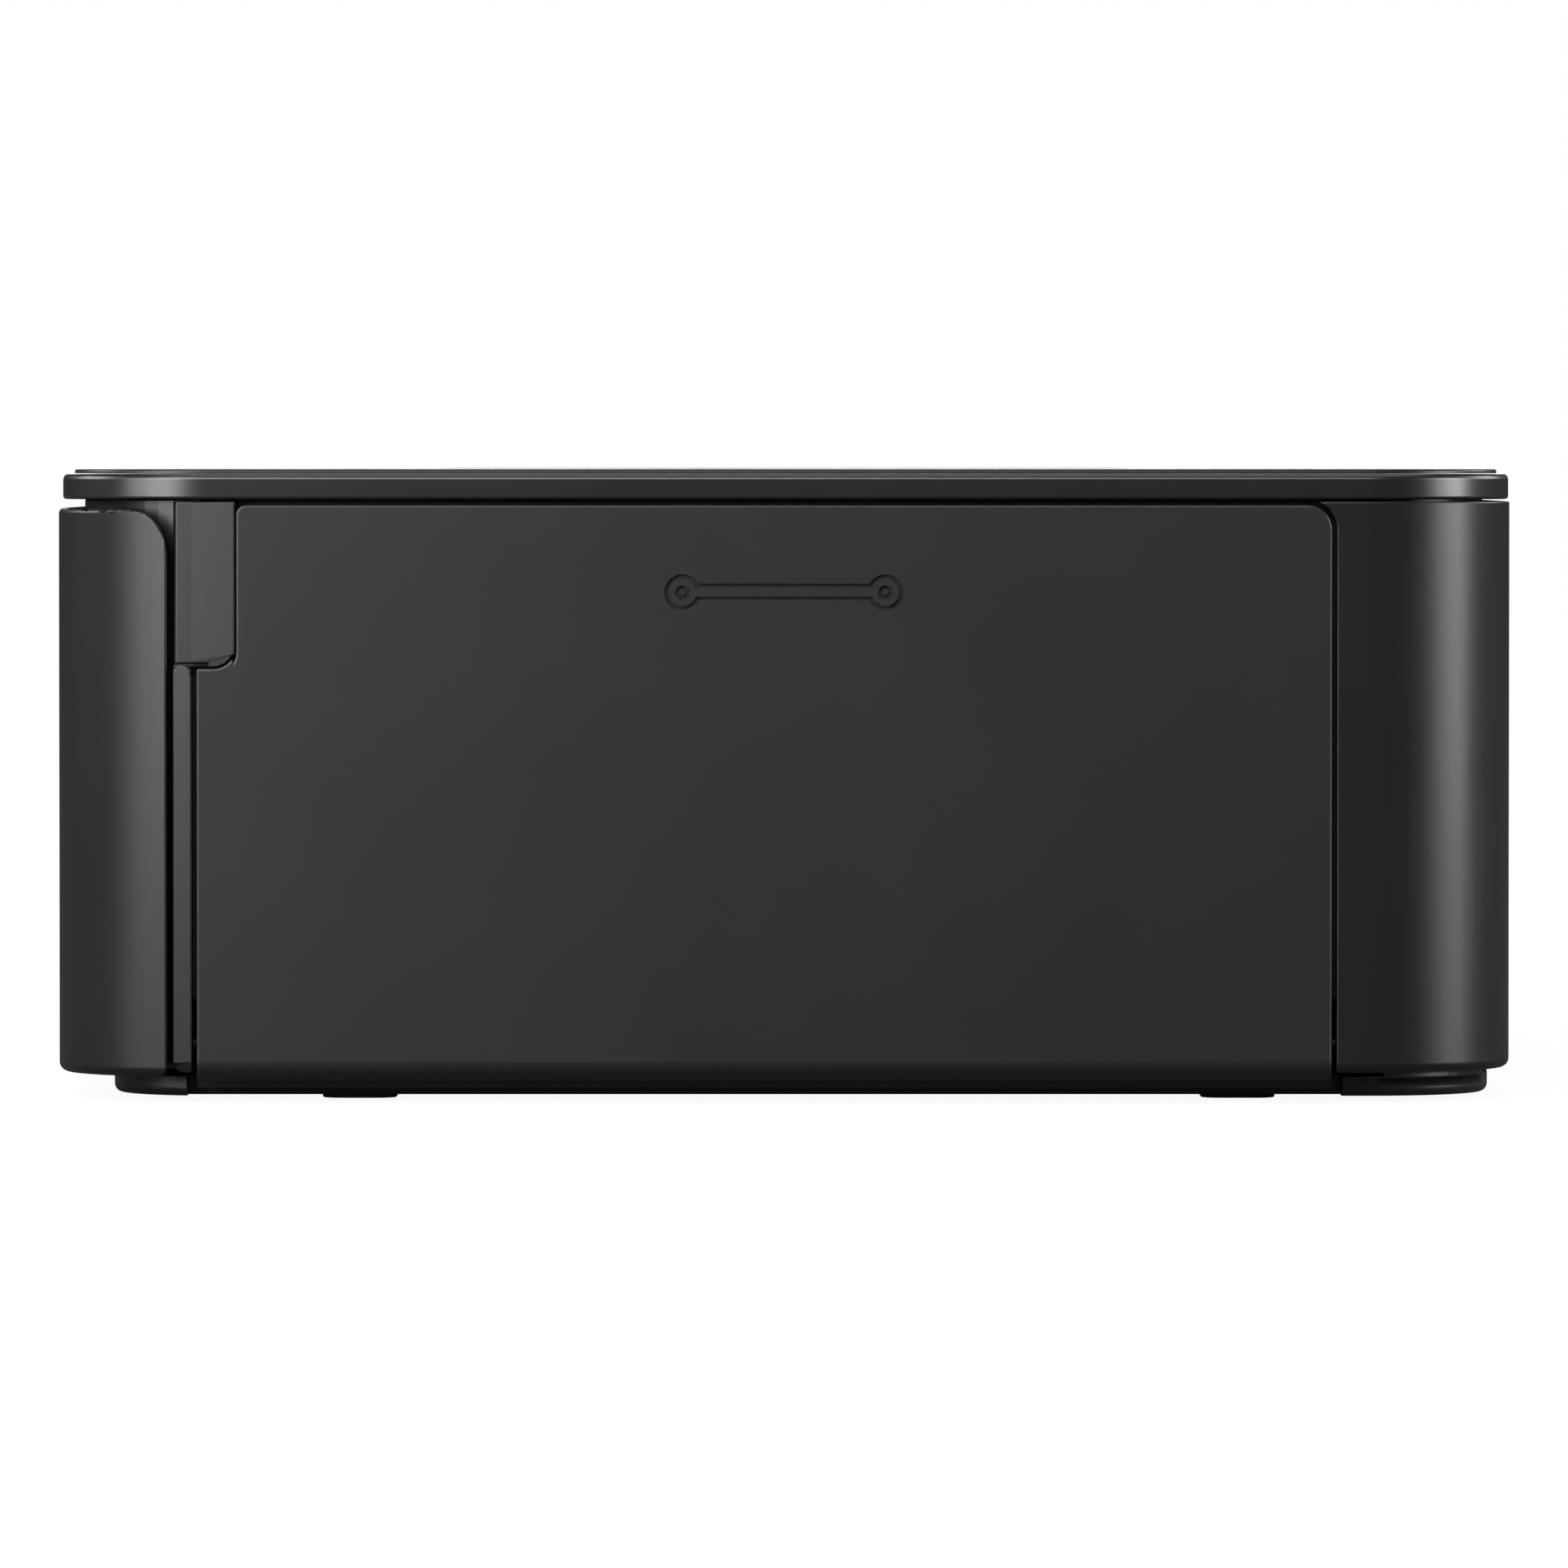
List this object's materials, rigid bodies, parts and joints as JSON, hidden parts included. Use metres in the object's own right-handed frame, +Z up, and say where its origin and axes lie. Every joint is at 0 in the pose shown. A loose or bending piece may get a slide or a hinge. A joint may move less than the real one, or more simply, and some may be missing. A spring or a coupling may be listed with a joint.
{
  "type": "compact photo printer",
  "caption": "Flat rounded photo printer with a wrap-around drop-down front cover, a hinged cassette door on the right side, a top display and buttons, and a dye-transfer mechanism inside.",
  "frame": {"origin": "centre of the bounding box, on the table under the feet", "axes": "+X to the side with the cassette door, -Y to the front cover, +Z up"},
  "size_m": [0.1822, 0.133, 0.0576],
  "materials": {
    "plinth_black": "fine spark-eroded texture",
    "foot_rubber": "soft matte",
    "screw_steel": "plain",
    "housing_black": "fine satin texture",
    "plate_black": "fine satin texture",
    "embossed_black": "moulded grid of shallow cushions",
    "cover_black": "fine satin texture",
    "door_black": "fine satin texture",
    "lens_gloss": "polished",
    "display_glass": "dark, switched off",
    "board_green": "solder mask",
    "button_grey": "satin",
    "sheet_steel": "zinc coated sheet",
    "guide_grey": "plain moulded",
    "lever_orange": "plain moulded",
    "acetal_white": "natural acetal",
    "roller_rubber": "ground rubber",
    "roller_steel": "fine grit-blasted grip band",
    "pinion_brass": "hobbed",
    "motor_steel": "plated can",
    "head_ceramic": "glazed ceramic",
    "head_aluminium": "extruded",
    "socket_steel": "plated shell",
    "fan_black": "plain moulded"
  },
  "bodies": {
    "case": {"base_plate": "plinth_black", "rubber_feet": "foot_rubber", "base_screws": "screw_steel", "housing": "housing_black", "top_plate": "plate_black", "top_panel": "embossed_black", "cover_hinge_pins": "screw_steel", "door_hinge_pins": "screw_steel", "display_lens": "lens_gloss", "display_module": "display_glass", "control_board": "board_green", "left_side_plate": "sheet_steel", "right_side_plate": "sheet_steel", "tie_bars": "sheet_steel", "paper_guide": "guide_grey", "cassette_guide": "guide_grey", "bay_liner": "guide_grey", "roller_bushes": "acetal_white", "pickup_motor": "motor_steel", "feed_motor": "motor_steel", "ribbon_motor": "motor_steel", "gear_plate": "sheet_steel", "head_pivot_shaft": "screw_steel", "main_board": "board_green", "card_slot": "socket_steel", "usb_port": "socket_steel", "power_board": "board_green", "board_parts": "fan_black", "dc_inlet": "fan_black", "fan_frame": "fan_black", "terminal_cover": "housing_black"},
    "front_cover": {"front_cover": "cover_black"},
    "ink_door": {"ink_door": "door_black"},
    "power_button": {"power_button": "button_grey"},
    "wireless_button": {"wireless_button": "button_grey"},
    "menu_button": {"menu_button": "button_grey"},
    "edit_button": {"edit_button": "button_grey"},
    "back_button": {"back_button": "button_grey"},
    "nav_ring": {"nav_ring": "button_grey"},
    "ok_button": {"ok_button": "button_grey"},
    "print_button": {"print_button": "button_grey"},
    "eject_lever": {"eject_lever": "lever_orange"},
    "pickup_roller": {"pickup_roller": "roller_rubber", "pickup_gear": "acetal_white"},
    "pickup_pinion": {"pickup_pinion": "pinion_brass"},
    "platen_roller": {"platen_roller": "roller_rubber"},
    "feed_roller": {"feed_roller": "roller_steel", "feed_gear": "acetal_white"},
    "feed_pinion": {"feed_pinion": "pinion_brass"},
    "pinch_roller": {"pinch_roller": "roller_rubber"},
    "ribbon_drive": {"ribbon_spindle": "acetal_white", "ribbon_gear": "acetal_white"},
    "ribbon_pinion": {"ribbon_pinion": "pinion_brass"},
    "print_head": {"thermal_head": "head_ceramic", "head_heatsink": "head_aluminium", "head_bracket": "sheet_steel"},
    "fan_rotor": {"fan_rotor": "fan_black"}
  },
  "joints": [
    {"name": "front_cover_hinge", "type": "hinge", "parent": "case", "child": "front_cover", "pos_m": [0, -0.0631, 0.0038], "axis": [1, 0, 0], "range_deg": [0, 90]},
    {"name": "ink_door_hinge", "type": "hinge", "parent": "case", "child": "ink_door", "pos_m": [0.0866, 0, 0.0052], "axis": [0, 1, 0], "range_deg": [0, 90]},
    {"name": "power_button_press", "type": "slide", "parent": "case", "child": "power_button", "axis": [0, 0, -1], "range_m": [0, 0.0005], "stiffness_N_per_m": 800},
    {"name": "wireless_button_press", "type": "slide", "parent": "case", "child": "wireless_button", "axis": [0, 0, -1], "range_m": [0, 0.0005], "stiffness_N_per_m": 800},
    {"name": "menu_button_press", "type": "slide", "parent": "case", "child": "menu_button", "axis": [0, 0, -1], "range_m": [0, 0.0005], "stiffness_N_per_m": 800},
    {"name": "edit_button_press", "type": "slide", "parent": "case", "child": "edit_button", "axis": [0, 0, -1], "range_m": [0, 0.0005], "stiffness_N_per_m": 800},
    {"name": "back_button_press", "type": "slide", "parent": "case", "child": "back_button", "axis": [0, 0, -1], "range_m": [0, 0.0005], "stiffness_N_per_m": 800},
    {"name": "nav_ring_press", "type": "slide", "parent": "case", "child": "nav_ring", "axis": [0, 0, -1], "range_m": [0, 0.0005], "stiffness_N_per_m": 800},
    {"name": "ok_button_press", "type": "slide", "parent": "case", "child": "ok_button", "axis": [0, 0, -1], "range_m": [0, 0.0005], "stiffness_N_per_m": 800},
    {"name": "print_button_press", "type": "slide", "parent": "case", "child": "print_button", "axis": [0, 0, -1], "range_m": [0, 0.0005], "stiffness_N_per_m": 800},
    {"name": "eject_lever_lift", "type": "slide", "parent": "case", "child": "eject_lever", "axis": [0, 0, 1], "range_m": [0, 0.004], "stiffness_N_per_m": 150},
    {"name": "pickup_roller_spin", "type": "hinge", "parent": "case", "child": "pickup_roller", "pos_m": [0, -0.044, 0.0255], "axis": [1, 0, 0], "continuous": true},
    {"name": "pickup_pinion_spin", "type": "hinge", "parent": "case", "child": "pickup_pinion", "pos_m": [0, -0.03, 0.0255], "axis": [1, 0, 0], "continuous": true},
    {"name": "platen_roller_spin", "type": "hinge", "parent": "case", "child": "platen_roller", "pos_m": [0, 0, 0.0215], "axis": [1, 0, 0], "continuous": true},
    {"name": "feed_roller_spin", "type": "hinge", "parent": "case", "child": "feed_roller", "pos_m": [0, 0.044, 0.0236], "axis": [1, 0, 0], "continuous": true},
    {"name": "feed_pinion_spin", "type": "hinge", "parent": "case", "child": "feed_pinion", "pos_m": [0, 0.0247, 0.0202], "axis": [1, 0, 0], "continuous": true},
    {"name": "pinch_roller_spin", "type": "hinge", "parent": "case", "child": "pinch_roller", "pos_m": [0, 0.044, 0.0313], "axis": [1, 0, 0], "continuous": true},
    {"name": "ribbon_drive_spin", "type": "hinge", "parent": "case", "child": "ribbon_drive", "pos_m": [0, 0.024, 0.0385], "axis": [1, 0, 0], "continuous": true},
    {"name": "ribbon_pinion_spin", "type": "hinge", "parent": "case", "child": "ribbon_pinion", "pos_m": [0, 0.01115, 0.04194], "axis": [1, 0, 0], "continuous": true},
    {"name": "print_head_lift", "type": "hinge", "parent": "case", "child": "print_head", "pos_m": [0, 0.046, 0.0484], "axis": [1, 0, 0], "range_deg": [0, 2.2], "stiffness_Nm_per_rad": 2, "springref_deg": -2.86},
    {"name": "fan_spin", "type": "hinge", "parent": "case", "child": "fan_rotor", "pos_m": [0.0682, 0.0598, 0.036], "axis": [0, 1, 0], "continuous": true}
  ],
  "couplings": [
    {"joint": "feed_pinion_spin", "follows": "feed_roller_spin", "ratio": -3},
    {"joint": "pinch_roller_spin", "follows": "feed_roller_spin", "ratio": -1.1429},
    {"joint": "pickup_pinion_spin", "follows": "pickup_roller_spin", "ratio": -1.8571},
    {"joint": "ribbon_pinion_spin", "follows": "ribbon_drive_spin", "ratio": -1.7143}
  ]
}
